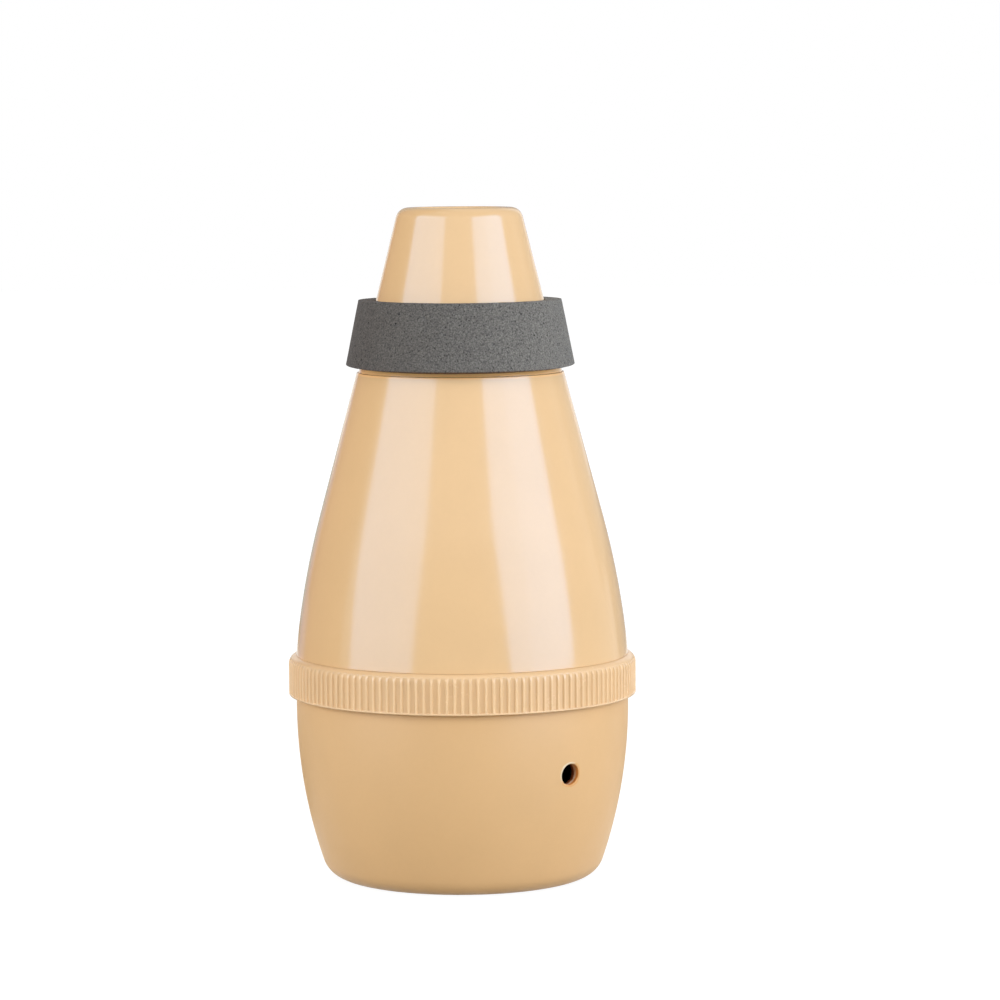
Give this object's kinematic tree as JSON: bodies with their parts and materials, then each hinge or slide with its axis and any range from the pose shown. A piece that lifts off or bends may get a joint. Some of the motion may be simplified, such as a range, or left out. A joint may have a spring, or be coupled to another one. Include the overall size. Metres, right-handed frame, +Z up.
{
  "type": "practice mute",
  "caption": "Practice mute for a trumpet: a round cup and a tapering shell joined by a ribbed screw ring, with a foam ring that seals in the bell.",
  "frame": {"origin": "centre of the cup's flat foot, on the surface that the mute stands on", "axes": "+Z up the mute's long axis towards the nose that goes into the bell; -Y is the front, with the vent hole 40 degrees to its right, towards +X"},
  "size_m": [0.069, 0.069, 0.1329],
  "materials": {
    "satin_cream": "satin moulded plastic",
    "gloss_cream": "polished moulded plastic",
    "ring_cream": "semi-gloss, finely ribbed",
    "inner_cream": "as moulded",
    "bell_foam": "fine-pored closed-cell foam",
    "damping_foam": "open-cell foam",
    "black_rubber": "matt"
  },
  "bodies": {
    "cup": {"base_cup": "satin_cream", "joint_gasket": "black_rubber", "cup_lining": "damping_foam", "floor_pad": "damping_foam"},
    "cone": {"flange_collar": "inner_cream", "cone_shell": "gloss_cream", "nose_cone": "gloss_cream", "throat_tube": "inner_cream", "baffle_disc": "inner_cream", "tube_grommet": "black_rubber", "cone_lining": "damping_foam"},
    "ring": {"grip_ring": "ring_cream"},
    "bell_foam": {"foam_ring": "bell_foam"}
  },
  "joints": [
    {"name": "cone_lift", "type": "slide", "parent": "cup", "child": "cone", "axis": [0, 0, 1], "range_m": [0, 0.004]},
    {"name": "ring_turn", "type": "hinge", "parent": "cone", "child": "ring", "pos_m": [0, 0, 0.0405], "axis": [0, 0, 1], "range_deg": [0, 720]},
    {"name": "foam_pull_off", "type": "slide", "parent": "cone", "child": "bell_foam", "axis": [0, 0, 1], "range_m": [0, 0.034]}
  ],
  "couplings": [
    {"joint": "ring_turn", "follows": "cone_lift", "rad_per_m": 3141.6}
  ]
}
